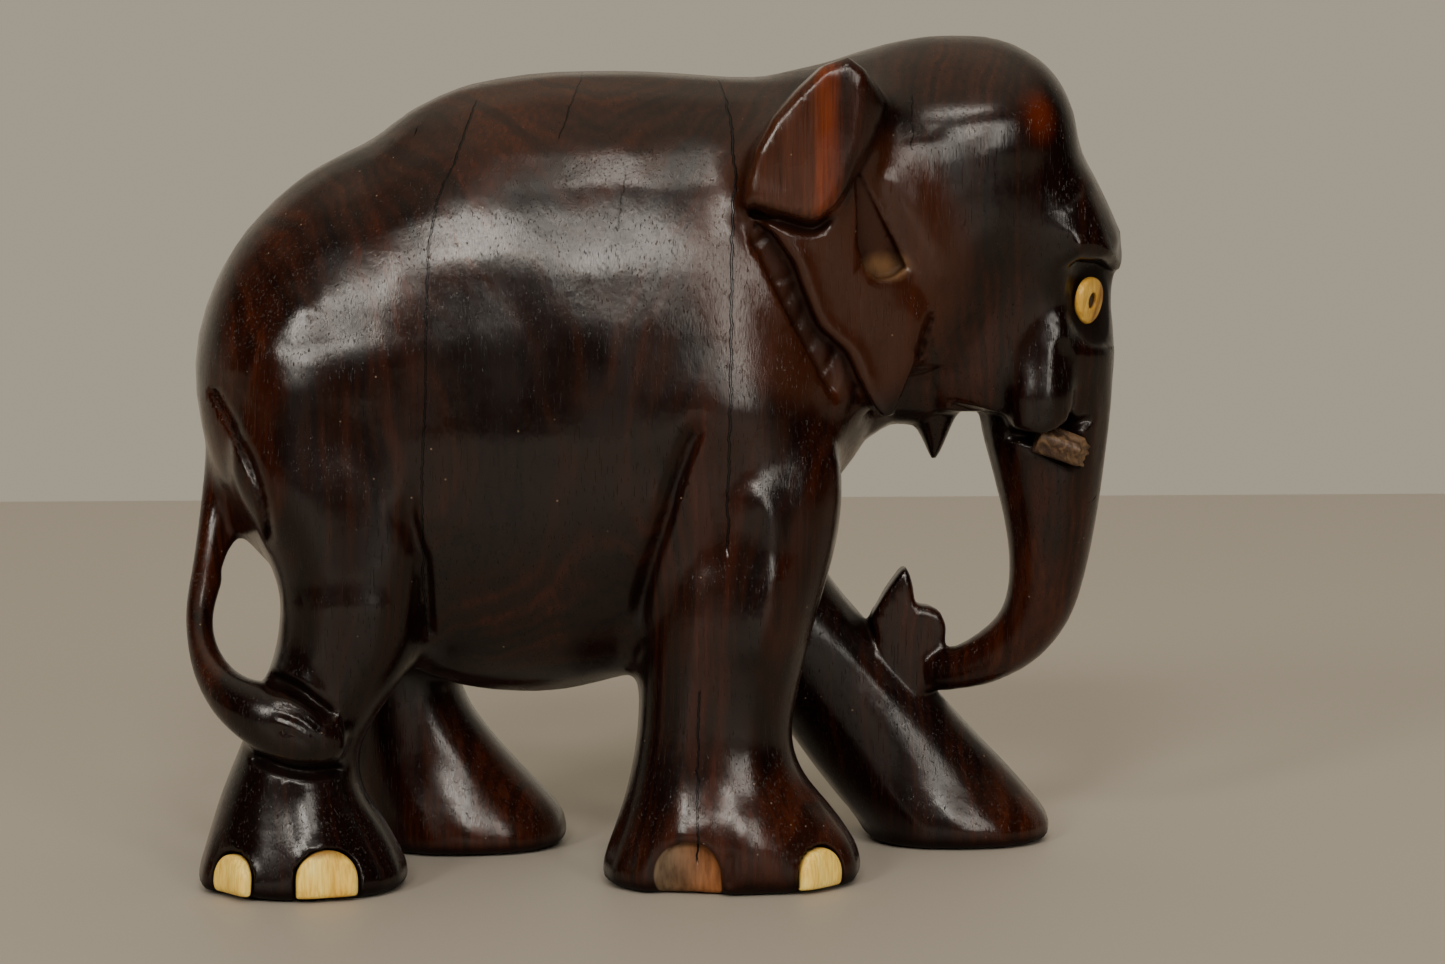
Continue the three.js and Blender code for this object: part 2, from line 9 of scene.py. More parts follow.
import bpy
import numpy as np
import openvdb as vdb
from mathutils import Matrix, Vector


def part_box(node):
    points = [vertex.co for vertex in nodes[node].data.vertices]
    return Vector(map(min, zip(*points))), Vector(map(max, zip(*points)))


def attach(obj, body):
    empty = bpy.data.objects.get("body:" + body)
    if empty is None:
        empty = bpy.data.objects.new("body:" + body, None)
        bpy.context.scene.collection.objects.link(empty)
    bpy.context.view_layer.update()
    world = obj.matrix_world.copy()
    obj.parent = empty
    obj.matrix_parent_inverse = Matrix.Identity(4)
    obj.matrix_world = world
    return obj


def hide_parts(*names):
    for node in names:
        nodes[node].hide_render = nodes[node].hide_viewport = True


MM = 0.001
BODY_PITCH = 0.5       # grid spacing of the block that the body is carved in
INLAY_PITCH = 0.16     # and of the small blocks for the inlays
BAND = 10.0            # how far from the surface distances are kept
MARGIN = 4.0           # room round the body in the block
RIGHT, LEFT = -1, 1
BOTH = (RIGHT, LEFT)
STEEP = 0.4            # the width of a one-sided stroke's steep side, as a share of its gentle side's
SWELL_REACH = 2.6      # radii beyond which a swell adds nothing that counts
RELIEF_PAD = 4.0       # room round a relief's outline for its rounded edges
BODY_DETAIL = 0.02     # how far the body's mesh may be simplified where it is flat
INLAY_DETAIL = 0.01    # and the inlays' meshes

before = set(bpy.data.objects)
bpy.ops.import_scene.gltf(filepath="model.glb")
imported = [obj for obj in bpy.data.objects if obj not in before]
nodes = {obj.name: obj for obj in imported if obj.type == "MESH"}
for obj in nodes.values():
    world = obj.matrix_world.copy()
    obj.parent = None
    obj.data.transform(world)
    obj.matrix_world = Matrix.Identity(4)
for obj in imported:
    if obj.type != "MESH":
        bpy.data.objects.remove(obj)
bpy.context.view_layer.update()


# ---------------------------------------------------------------------------------------------
# The block of distances and the carver's strokes
# ---------------------------------------------------------------------------------------------

def smoothstep(low, high, value):
    t = np.clip((value - low) / (high - low), 0, 1)
    return t * t * (3 - 2 * t)


def spline(points, steps=10):
    """A smooth line through given points, with its end tangents along the end spans."""
    p = np.array(points, float)
    p = np.vstack([2 * p[0] - p[1], p, 2 * p[-1] - p[-2]])
    t = np.linspace(0, 1, steps, endpoint=False)[:, None]
    spans = []
    for a, b, c, d in zip(p, p[1:], p[2:], p[3:]):
        square, cube = 2 * a - 5 * b + 4 * c - d, 3 * b - a - 3 * c + d
        spans.append(0.5 * (2 * b + (c - a) * t + square * t ** 2 + cube * t ** 3))
    return np.vstack(spans + [p[-2][None]])


def to_line(u, v, line):
    """Distance, side (positive on the left) and place along, 0 to 1, of points from an open line."""
    best = np.full(np.broadcast(u, v).shape, np.inf)
    side, along = np.zeros_like(best), np.zeros_like(best)
    spans = np.hypot(*np.diff(line, axis=0).T)
    starts = np.concatenate([[0], np.cumsum(spans)])
    for a, b, start, span in zip(line, line[1:], starts, spans):
        du, dv = (b - a) / span
        t = np.clip((u - a[0]) * du + (v - a[1]) * dv, 0, span)
        gap = np.hypot(u - a[0] - t * du, v - a[1] - t * dv)
        closer = gap < best
        best = np.where(closer, gap, best)
        side = np.where(closer, np.sign(du * (v - a[1]) - dv * (u - a[0])), side)
        along = np.where(closer, (start + t) / starts[-1], along)
    return best, side, along


def to_outline(u, v, outline):
    """Signed distance of points from a closed outline, negative inside."""
    ring = np.vstack([outline, outline[:1]])
    gap = to_line(u, v, ring)[0]
    inside = np.zeros(gap.shape, bool)
    for a, b in zip(ring, ring[1:]):
        if a[1] != b[1]:
            crosses = (a[1] > v) != (b[1] > v)
            inside ^= crosses & (u < (b[0] - a[0]) * (v - a[1]) / (b[1] - a[1]) + a[0])
    return np.where(inside, -gap, gap)


def blend_least(a, b, radius):
    """The lesser of two distances, with the crease between them rounded."""
    h = np.clip(0.5 + 0.5 * (b - a) / radius, 0, 1)
    return b + (a - b) * h - radius * h * (1 - h)


def blend_most(a, b, radius):
    return -blend_least(-a, -b, radius)


def blurred(field, sigma, pitch=BODY_PITCH):
    """Gaussian smoothing, one axis at a time. sigma is in millimetres."""
    reach = max(1, math.ceil(2.5 * sigma / pitch))
    weights = np.exp(-0.5 * (np.arange(-reach, reach + 1) * pitch / sigma) ** 2)
    weights /= weights.sum()
    for axis in range(3):
        pad = [(reach, reach) if a == axis else (0, 0) for a in range(3)]
        wide = np.pad(field, pad, mode="edge")
        size = field.shape[axis]
        shifted = (np.take(wide, range(i, i + size), axis) for i in range(len(weights)))
        field = sum(w * part for w, part in zip(weights.astype(np.float32), shifted))
    return field


def mesh_arrays(obj):
    """Merged vertices in millimetres and triangles of a frame mesh."""
    mesh = obj.data
    mesh.calc_loop_triangles()
    points = np.empty(len(mesh.vertices) * 3, np.float32)
    mesh.vertices.foreach_get("co", points)
    corners = np.empty(len(mesh.loop_triangles) * 3, np.int32)
    mesh.loop_triangles.foreach_get("vertices", corners)
    points = np.round(points.reshape(-1, 3) / MM, 3)
    points, place = np.unique(points, axis=0, return_inverse=True)
    triangles = place.reshape(-1)[corners].reshape(-1, 3)
    a, b, c = triangles.T
    whole = (a != b) & (b != c) & (a != c)
    return points, triangles[whole].astype(np.uint32)


class Clay:
    """A block of signed distances, negative inside the wood."""

    def __init__(self, low, high, pitch=BODY_PITCH):
        self.pitch = pitch
        self.start = np.floor(np.array(low) / pitch).astype(int)
        self.stop = np.ceil(np.array(high) / pitch).astype(int)
        axes = [np.arange(a, b) * pitch for a, b in zip(self.start, self.stop)]
        self.x, self.y, self.z = (a.astype(np.float32) for a in axes)
        self.transform = vdb.createLinearTransform(voxelSize=pitch)

    def places(self):
        """The x, y and z of every point, ready to broadcast."""
        return self.x[:, None, None], self.y[None, :, None], self.z[None, None, :]

    def distances(self, obj):
        points, triangles = mesh_arrays(obj)
        grid = vdb.FloatGrid.createLevelSetFromPolygons(
            points, triangles=triangles, transform=self.transform, halfWidth=min(BAND / self.pitch, 30))
        field = np.empty(self.stop - self.start, np.float32)
        grid.copyToArray(field, ijk=tuple(int(i) for i in self.start))
        return field

    def window(self, low, high):
        """Slices of the part of the block between two corners."""
        spans = []
        for axis, a, b in zip((self.x, self.y, self.z), low, high):
            first, last = np.searchsorted(axis, a), np.searchsorted(axis, b, side="right")
            spans.append(slice(int(first), int(last)))
        return tuple(spans)

    def face(self, spans, side):
        """Where the outermost surface of one side lies along Y, for each X and Z of a window."""
        wood = self.field[spans] < 0
        y = self.y[spans[1]]
        first = wood.argmax(1) if side == RIGHT else len(y) - 1 - wood[:, ::-1].argmax(1)
        return np.where(wood.any(1), y[first], side * -1000.0)

    def half(self, low_x, high_x, low_z, high_z, side):
        """A window through one side of the body, and the x and z across it."""
        y = (self.y[0], 0.0) if side == RIGHT else (0.0, self.y[-1])
        spans = self.window((low_x, y[0], low_z), (high_x, y[1], high_z))
        x, z = np.meshgrid(self.x[spans[0]], self.z[spans[2]], indexing="ij")
        return spans, x, z

    def press(self, points, width, depth, sides=BOTH, shape="round", taper=(0.15, 0.15), reach=5.0):
        """Pushes the surface in along a line of (x, z) points, or raises it where depth is negative.

        A left or right shape slopes gently on that side of the line and steeply on the other. The stroke
        fades out along those shares of the line at its two ends, and at that reach under the surface.
        """
        line = spline(points)
        low, high = line.min(0) - 3 * width, line.max(0) + 3 * width
        for side in sides:
            spans, x, z = self.half(low[0], high[0], low[1], high[1], side)
            gap, hand, along = to_line(x, z, line)
            if shape == "round":
                amount = np.exp(-(gap / width) ** 2)
            elif shape == "vee":
                amount = np.clip(1 - gap / width, 0, 1)
            elif shape in ("left", "right"):
                gentle = hand > 0 if shape == "left" else hand < 0
                amount = np.clip(1 - gap / np.where(gentle, width, STEEP * width), 0, 1)
                amount = amount * amount * (3 - 2 * amount)
            start, end = (max(share, 1e-3) for share in taper)
            amount = amount * (smoothstep(0, start, along) * smoothstep(0, end, 1 - along)) * depth
            under = np.abs(self.y[spans[1]][None, :, None] - self.face(spans, side)[:, None, :])
            near_skin = 1 - smoothstep(0.5 * reach, reach, under)
            self.field[spans] += (amount[:, None, :] * near_skin).astype(np.float32)

    def swell(self, centre, radii, height, sides=BOTH):
        """Raises the surface round a point, or hollows it where height is negative."""
        for side in sides:
            cx, cy, cz = centre[0], side * abs(centre[1]), centre[2]
            r = np.array(radii, float)
            middle = np.array((cx, cy, cz))
            spans = self.window(middle - SWELL_REACH * r, middle + SWELL_REACH * r)
            u = ((self.x[spans[0]] - cx) / r[0])[:, None, None]
            v = ((self.y[spans[1]] - cy) / r[1])[None, :, None]
            w = ((self.z[spans[2]] - cz) / r[2])[None, None, :]
            self.field[spans] -= (height * np.exp(-(u * u + v * v + w * w))).astype(np.float32)

    def relief(self, outline, front, back, sides=BOTH, edge=0.8, join=1.0, cut=False):
        """Adds a solid with that (x, z) outline between two depths along Y, or cuts it away.

        front and back give |y| for x and z, edge rounds the solid's own edges and join its crease.
        """
        outline = np.array(outline, float)
        low, high = outline.min(0) - RELIEF_PAD, outline.max(0) + RELIEF_PAD
        for side in sides:
            spans, x, z = self.half(low[0], high[0], low[1], high[1], side)
            flat = to_outline(x, z, outline)[:, None, :]
            y = np.abs(self.y[spans[1]])[None, :, None]
            outer, inner = front(x, z)[:, None, :], back(x, z)[:, None, :]
            block = blend_most(blend_most(flat, y - outer, edge), inner - y, edge)
            field = self.field[spans]
            field = blend_most(field, -block, join) if cut else blend_least(field, block, join)
            self.field[spans] = field.astype(np.float32)

    def surface(self, name, detail=INLAY_DETAIL):
        """The carved surface as a mesh object, shaded with the block's own smooth normals."""
        grid = vdb.FloatGrid(BAND)
        grid.gridClass = vdb.GridClass.LEVEL_SET
        grid.transform = self.transform
        grid.copyFromArray(np.clip(self.field, -BAND, BAND), ijk=tuple(int(i) for i in self.start))
        points, triangles, quads = grid.convertToPolygons(isovalue=0.0, adaptivity=detail)
        mesh = bpy.data.meshes.new(name)
        faces = [f[::-1] for f in triangles.tolist() + quads.tolist()]
        mesh.from_pydata((points * MM).tolist(), [], faces)
        mesh.validate()
        obj = bpy.data.objects.new(name, mesh)
        bpy.context.scene.collection.objects.link(obj)
        slopes = np.stack([self.sampled(np.gradient(self.field, axis=a), points) for a in range(3)], 1)
        slopes /= np.linalg.norm(slopes, axis=1, keepdims=True)
        mesh.polygons.foreach_set("use_smooth", [True] * len(mesh.polygons))
        mesh.normals_split_custom_set_from_vertices(slopes.tolist())
        return obj

    def sampled(self, values, points):
        """Values of a block at points, by straight interpolation."""
        place = points / self.pitch - self.start
        base = np.clip(place.astype(int), 0, np.array(values.shape) - 2)
        part = place - base
        total = np.zeros(len(points))
        for corner in np.ndindex(2, 2, 2):
            weight = np.prod([part[:, a] if c else 1 - part[:, a] for a, c in enumerate(corner)], axis=0)
            total += weight * values[tuple((base + corner).T)]
        return total


# ---------------------------------------------------------------------------------------------
# Carving the body
# ---------------------------------------------------------------------------------------------

INLAYS = [n for n in nodes if n != "carved_body"]

body_low, body_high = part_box("carved_body")
clay = Clay(np.array(body_low) / MM - MARGIN, np.array(body_high) / MM + MARGIN)
inlay_space = {n: clay.distances(nodes[n]) for n in INLAYS}


def near(low, high, soft=2.0):
    """A block that is 1 between two corners and falls to 0 within a few millimetres outside them."""
    fade = 1
    for i, axis in enumerate((clay.x, clay.y, clay.z)):
        above = smoothstep(low[i] - soft, low[i], axis)
        below = 1 - smoothstep(high[i], high[i] + soft, axis)
        fade = fade * (above * below).reshape([-1 if k == i else 1 for k in range(3)])
    return fade


def flat(depth):
    """A level plane for a relief's front or back."""
    return lambda x, z: depth + 0 * x


everything = flat(40)          # outside the widest part of the body

PLUG_OVERLAP = 0.5             # the plugs reach this far past the inlays, to close the gaps round them
CORNER_BLUR, CORNER_LIFT = 2.4, 0.05      # how softly the CAD's inner corners are filled
FACET_BLUR, CRISP_BLUR = 1.0, 0.5         # the smoothing of its facets, and where detail is kept

# Boxes that are smoothed further, with their blur, and boxes that are smoothed less.
SOFT = [((30, -20, 86), (56, 20, 112), 2.2),   # the forehead and the sides of the head
        ((48, -20, 71), (56, 20, 79), 1.3),    # the tusk sheaths
        ((-54, -32, 42), (-37, 32, 68), 3.0),  # the thighs
        ((4, -32, 46), (16, 32, 66), 2.6)]     # the shoulders
CRISP = [((28, 2, 22), (48, 24, 46)),          # the leaf sprig
         ((27, -9, 52), (50, 9, 69)),          # the jaw
         ((49, -16, 57), (62, 16, 66)),        # the mouths of the tusk sheaths
         ((55, -16, 74), (66, 16, 88))]        # the brows and sockets


def roughed_out():
    """The CAD body with its nail pockets plugged, its inner corners filled and its facets smoothed."""
    plugged = clay.distances(nodes["carved_body"])
    for name in INLAYS:
        if "tusk" not in name:
            plugged = np.minimum(plugged, inlay_space[name] - PLUG_OVERLAP)
    filled = np.minimum(plugged, blurred(plugged, CORNER_BLUR) + CORNER_LIFT)
    smooth, crisp = blurred(filled, FACET_BLUR), blurred(plugged, CRISP_BLUR)
    for low, high, sigma in SOFT:
        smooth += (blurred(smooth, sigma) - smooth) * near(low, high, soft=4.0)
    for low, high in CRISP:
        smooth += (crisp - smooth) * near(low, high)
    return smooth


SHEATH = [(47.6, 75), (48.9, 61.6), (51.5, 60.9), (55.2, 61.5), (55.6, 66), (55.4, 75)]


def sheath_front(x, z):
    """A tusk sheath, rounded across, that sinks into the cheek at its top."""
    return 12.8 - 0.10 * (x - 51.5) ** 2 - 0.04 * (68 - z) - 0.30 * np.clip(z - 65.5, 0, None)


def head():
    clay.swell((50, 9, 102), (10, 8, 10), 0.8)                          # forehead domes
    under_cheek = [(40.5, 64.4), (44.5, 63.6), (49.2, 60.6), (47, 58), (40.5, 58)]
    clay.relief(under_cheek, everything, flat(6.8), cut=True, edge=0.5, join=1.2)
    clay.swell((50.5, 13.5, 95), (5, 5, 5.5), -0.7)                     # temples
    clay.swell((43, 15, 102), (11, 6, 6), 0.9)                          # the flat sides of the head
    behind_cheek = [(45, 88), (44.6, 80), (44.4, 68)]
    clay.press(behind_cheek, 3.2, 0.7, taper=(0.3, 0.5))
    brow_ridge = [(55.8, 93), (59.5, 89), (63, 85.2)]
    clay.press(brow_ridge, 2.8, -0.45)
    sheath_ridge = [(53.3, 80), (53.3, 71), (53.1, 61)]
    clay.press(sheath_ridge, 2.2, -0.15, taper=(0.6, 0.0))
    before_sheath = [(55.4, 77), (55.4, 69), (55.9, 61.5)]
    clay.press(before_sheath, 1.4, 0.3, taper=(0.5, 0.0))
    clay.relief(SHEATH, sheath_front, flat(6.0), edge=1.2, join=2.2)
    under_sheath = [(47.5, 60.4), (49.5, 60.0), (52.6, 59.7), (56, 61.0), (60.5, 62.9)]
    clay.press(under_sheath, 0.7, 1.0)


SOCKET = [(54.4, 82.6), (57, 84.3), (60.5, 83.9), (64.6, 81.8), (66, 74), (62, 72.5), (57, 73),
          (54.7, 77)]
EYE_CENTRE = (59.2, 7.35, 78.7)
EYE_FACING = (0.79, 0.60, -0.15)       # forward, outward and a little down
PUPIL_HOLE, PUPIL_RADIUS = 1.1, 1.2


def socket_floor(x, z):
    """Faces forward and outward, and runs out into the trunk at its lower end."""
    return 6.75 - 1.25 * (x - 59.2) + 0.3 * np.clip(77.5 - z, 0, None)


def sockets():
    """A hollow with a flat floor for each eye, under the overhanging edge of the brow."""
    brow_edge = [(55.5, 85.8), (59, 86.2), (63, 84.4)]
    clay.press(brow_edge, 1.5, -0.7)
    clay.relief(SOCKET, everything, socket_floor, cut=True, edge=1.0, join=1.6)


def ear_front(x, z):
    """The face of the ear, which turns in towards the head."""
    return 23.4 - 0.27 * (x - 14) - 0.03 * (90 - z)


def flap_front(x, z):
    """A flat leaf with rounded edges, bent back towards the head in front of an upright fold."""
    rolled = 0.8 * np.exp(np.minimum(to_outline(x, z, np.array(FLAP)), 0) / 1.0)
    fold = np.clip(x - (23.6 + 0.15 * (z - 91.5)), 0, None)
    return 24.9 + 0.02 * (z - 90) - 0.03 * (x - 20) - rolled - 0.75 * fold


EAR_REAR = [(10.7, 91.7), (14.7, 87.8), (17.3, 84.2), (18.7, 80.5), (20.7, 75.8), (24.7, 72.2),
            (26.4, 68.5), (28.1, 65.1)]
EAR = EAR_REAR + [(29.5, 63.4), (31.0, 63.6), (32.2, 66.4), (33.9, 70.4), (34.6, 76.2), (31, 84),
                  (26, 94), (22, 97)]
TRENCH = [(9.4, 90.8), (12.5, 85), (15.4, 79), (18.7, 73), (22.0, 67), (25.5, 63.5), (28.4, 63.0)]
FLAP = [(10.2, 91.8), (10.7, 95), (11.8, 99), (14.1, 103.1), (17.4, 106.9), (20.8, 110.0), (24.1, 111.2),
        (26.3, 109.7), (28.3, 107.5), (30.0, 105.1), (29.4, 102.3), (27.7, 99.4), (25.0, 95.4),
        (22.4, 91.7), (20.5, 90), (18.6, 89.5), (15.1, 90.7)]
EAR_POCKET = [(25.5, 95.2), (26.1, 95.8), (32.6, 83.5), (30.8, 82.1), (28.6, 81.8), (26.8, 83.2),
              (25.8, 86.5)]
TRENCH_DEPTH = 3.4             # below the ear's face
EAR_THICKNESS = 7.0


def trench_floor(x, z):
    return ear_front(x, z) - TRENCH_DEPTH


def pocket_floor(x, z):
    """The floor of the ear's pocket, which deepens downward."""
    return ear_front(x, z) - 0.5 - 2.6 * np.clip((96 - z) / 12, 0, 1)


def ears():
    """Each ear is a slab with a trench behind it, a flap folded over its top and a three-sided pocket."""
    clay.relief(TRENCH + EAR[7:0:-1], everything, trench_floor, cut=True, edge=0.5, join=0.4)
    clay.relief(EAR, ear_front, lambda x, z: ear_front(x, z) - EAR_THICKNESS, edge=0.7, join=0.4)
    raised_rim = [(x + 0.9, z + 0.3) for x, z in EAR_REAR[1:]]
    clay.press(raised_rim, 0.9, -0.35)
    rng = np.random.default_rng(3)
    outer, inner = spline(TRENCH), spline(EAR_REAR)
    for share in np.cumsum(rng.uniform(0.06, 0.14, 9)):         # the chisel's marks across the trench
        a = outer[int(share * (len(outer) - 1))] + rng.normal(0, 0.4, 2)
        b = inner[int(min(share + rng.uniform(-0.06, 0.1), 1) * (len(inner) - 1))]
        width, depth = rng.uniform(0.5, 1.3), rng.uniform(0.2, 0.55)
        clay.press([a, (a + b) / 2, b], width, depth, shape="left", reach=3)
    clay.relief(FLAP, flap_front, lambda x, z: flap_front(x, z) - EAR_THICKNESS, edge=1.2, join=0.9)
    under_flap = [(11.0, 91.0), (15.0, 89.8), (18.8, 88.7), (20.8, 89.2), (22.8, 91.2)]
    clay.press(under_flap, 0.6, 1.3, taper=(0.05, 0.2))
    before_ear = [(31.2, 105.2), (29.8, 99.1), (28.4, 95.1), (30.2, 89.6), (33.2, 83.7), (36.4, 77)]
    clay.press(before_ear, 2.0, 0.6)
    side_of_head = [(35.5, 103), (34.8, 95), (36.0, 87), (39, 79)]
    clay.press(side_of_head, 3.4, -0.5)
    front_edge = [(36.9, 77.4), (35.7, 74), (34.9, 70.5)]
    clay.press(front_edge, 1.2, 0.7, shape="right")
    clay.relief(EAR_POCKET, everything, pocket_floor, cut=True, edge=0.4, join=0.3)


def limbs():
    """The swell of the thighs and shoulders, eased into the flanks."""
    clay.swell((-50, 21, 68), (10, 6, 7), 1.9)      # thighs
    clay.swell((-50, 24, 47), (9, 6, 6), -0.5)
    clay.swell((11, 22, 64), (9, 6, 7), 1.5)        # shoulders
    clay.swell((12, 25, 46), (8, 5, 6), -0.5)


def grooves():
    """The creases where the legs leave the barrel, and the ridges beside them."""
    shoulder = [(5.3, 63.6), (3.8, 60.7), (1.8, 55.4), (0.3, 50.1), (-1.4, 44.6), (-2.7, 39.1),
                (-3.2, 34.0)]
    clay.press(shoulder, 2.6, 1.3, shape="right", taper=(0.1, 0.2))
    foreleg = [(9.2, 55.3), (13.1, 51.4), (14.0, 46.1), (13.7, 39.4), (12.1, 34.1), (11.1, 28.7)]
    clay.press(foreleg, 2.6, -0.7)
    haunch = [(-32.7, 56.5), (-33.6, 51.6), (-32.8, 47.6), (-31.9, 44.9), (-31.6, 39.3), (-31.5, 33.4)]
    clay.press(haunch, 2.6, 1.0, shape="right", taper=(0.3, 0.1))
    hip = [(-46, 80), (-53, 74), (-59, 68)]
    clay.press(hip, 2.5, -0.45)


def tail():
    """The tail lies against the right thigh and ends in a tuft with the hair cut as lines."""
    side = (RIGHT,)
    root = [(-60.6, 67.2), (-57.4, 61.8), (-55.0, 57.6), (-53.4, 52.6), (-52.8, 46)]
    clay.press(root, 1.6, 0.8, side, "left", (0.02, 0.1))
    along_tail = [(-58.8, 55), (-59.6, 48), (-60.4, 40)]
    clay.press(along_tail, 1.0, 0.45, side)
    under_tuft = [(-55.5, 18.9), (-51.8, 17.9), (-48.6, 17.1), (-44.3, 16.8), (-42.6, 17.6)]
    clay.press(under_tuft, 0.8, 1.3, side)
    over_tuft = [(-53.2, 28.9), (-49.7, 28.3), (-46.9, 26.6), (-43.7, 23.9)]
    clay.press(over_tuft, 0.8, 1.1, side)
    for drop in (0.0, 1.5, 3.1):
        hair = [(-52.0, 26.6 - drop), (-48.4, 25.2 - drop), (-44.8, 22.2 - drop)]
        clay.press(hair, 0.5, 0.35, side, "vee")


def feet():
    """The toes, and a chip and a crack at the sole of the right front foot."""
    clay.swell((10.5, 26.4, 7.5), (4.5, 4, 5), 1.0, (RIGHT,))           # over the toes
    clay.swell((2.0, 26.2, 7.0), (4, 4, 4.5), 0.7, (RIGHT,))
    clay.swell((-47.5, 25.5, 7.5), (3.5, 4, 6), 0.8, (RIGHT,))
    clay.swell((12.6, 28.4, 0.6), (4.5, 1.6, 1.6), -0.9, (RIGHT,))      # a chipped edge of the sole
    clay.press([(8.4, 6.2), (8.1, 3.5), (8.2, 1.0)], 0.7, 0.5, (RIGHT,))


WAVES, WAVE_HEIGHT = 14, 0.018


def undulation():
    """The slight unevenness that a knife and sandpaper leave."""
    rng = np.random.default_rng(7)
    x, y, z = clay.places()
    waves = 0
    for _ in range(WAVES):
        way = rng.normal(size=3)
        way /= np.linalg.norm(way) * rng.uniform(1.4, 3.2)
        waves = waves + np.sin(way[0] * x + way[1] * y + way[2] * z + rng.uniform(0, 2 * math.pi))
    clay.field += (WAVE_HEIGHT * waves).astype(np.float32)


def facing(obj):
    """The way that the largest flat face of a plate looks, away from the middle of the leg behind it."""
    areas = np.array([p.area for p in obj.data.polygons])
    normals = np.array([p.normal for p in obj.data.polygons])
    flat = [areas[normals @ n > 0.999].sum() for n in normals]
    normal = normals[int(np.argmax(flat))]
    peg = nodes.get(obj.name.replace("toenail", "nail_peg"))
    peg_centre, plate_centre = (np.mean([v.co for v in o.data.vertices], 0) for o in (peg, obj))
    return normal if normal @ (peg_centre - plate_centre) < 0 else -normal


def swept(space, direction, length, pitch):
    """A shape together with the space that it would pass through, moved that far along a direction."""
    total = space
    for step in np.arange(1, math.ceil(length / pitch) + 1) * pitch:
        shift = np.round(direction * step / pitch).astype(int)
        total = np.minimum(total, np.roll(space, shift, (0, 1, 2)))
    return total


NAILS = [n for n in INLAYS if n.endswith("toenail")]
NAIL_GAP, PEG_GAP = 0.25, 0.1
NAIL_PROUD = 0.12              # the nail's face above the foot's skin


def arch_floor(x, z):
    return 25.3 + 0 * x - 0.05 * z


def bare_pocket():
    """The right front foot's side pocket, an arched recess whose nail is lost."""
    arch = [(-1.5, -1.0), (-1.4, 2.6), (-0.5, 5.2), (1.3, 6.9), (3.6, 7.2), (5.6, 6.2), (6.9, 4.0),
            (7.3, 1.5), (7.4, -1.0)]
    clay.relief(spline(arch, 6), everything, arch_floor, (RIGHT,), 0.3, 0.3, cut=True)


def pockets():
    """The recesses that hold the nails and their pegs, with a hair of clearance."""
    for name in NAILS:
        space = swept(inlay_space[name], facing(nodes[name]), 2.5, BODY_PITCH)
        clay.field = np.maximum(clay.field, NAIL_GAP - space)
    for name in INLAYS:
        if "peg" in name:
            clay.field = np.maximum(clay.field, PEG_GAP - inlay_space[name])


def inlay_block(obj, margin=1.6):
    points = mesh_arrays(obj)[0]
    return Clay(points.min(0) - margin, points.max(0) + margin, INLAY_PITCH)


def nail(name, skin):
    """A bone nail: its plate, dressed down to the curve of the foot and a hair proud of it."""
    block = inlay_block(nodes[name])
    plate = swept(block.distances(nodes[name]), facing(nodes[name]), 1.4, INLAY_PITCH)
    points = np.stack(np.broadcast_arrays(*block.places()), -1).reshape(-1, 3)
    foot = clay.sampled(skin, points).reshape(plate.shape)
    block.field = blend_most(plate, foot - NAIL_PROUD, 0.5).astype(np.float32)
    block.field = blurred(block.field, 0.16, INLAY_PITCH)
    return block.surface(name + "_bone")


def turned(block, centre, facing_way):
    """Places in a block as seen from a disc: across, up and out of it."""
    w = np.array(facing_way) / np.linalg.norm(facing_way)
    u = np.cross((0, 0, 1), w)
    u /= np.linalg.norm(u)
    v = np.cross(w, u)
    x, y, z = (a - c for a, c in zip(block.places(), centre))
    return (axis[0] * x + axis[1] * y + axis[2] * z for axis in (u, v, w))


def eye_block(side, reach):
    """A block round an eye, with its places as seen from the eye's disc."""
    centre = np.array((EYE_CENTRE[0], side * EYE_CENTRE[1], EYE_CENTRE[2]))
    block = Clay(centre - reach, centre + reach, INLAY_PITCH)
    return block, turned(block, centre, (EYE_FACING[0], side * EYE_FACING[1], EYE_FACING[2]))


def eye(side, name):
    """A bone disc with a rounded rim, a dished face and a hole drilled for the pupil."""
    block, (across, up, out) = eye_block(side, 5)
    radius = np.hypot(across, up)
    angle = np.arctan2(up, across)
    rim = 3.4 + 0.14 * np.cos(2 * angle + 0.6) + 0.06 * np.sin(3 * angle)
    disc = blend_most(radius - rim, np.abs(out) - (0.75 - 0.02 * radius ** 2), 0.5)
    block.field = blend_most(disc, PUPIL_HOLE - radius, 0.3).astype(np.float32)
    return block.surface(name)


def pupil_plug(side, name):
    """The plug at the bottom of the hole in an eye."""
    block, (across, up, out) = eye_block(side, 3)
    plug = blend_most(np.hypot(across, up) - PUPIL_RADIUS, np.abs(out + 0.25) - 0.5, 0.2)
    block.field = plug.astype(np.float32)
    return block.surface(name)


# On the left side. The right side's has the opposite y.
TUSK_ROOT = np.array((52.0, 8.3, 59.9))
TUSK_AIM = np.array((0.93, 0.03, -0.34))


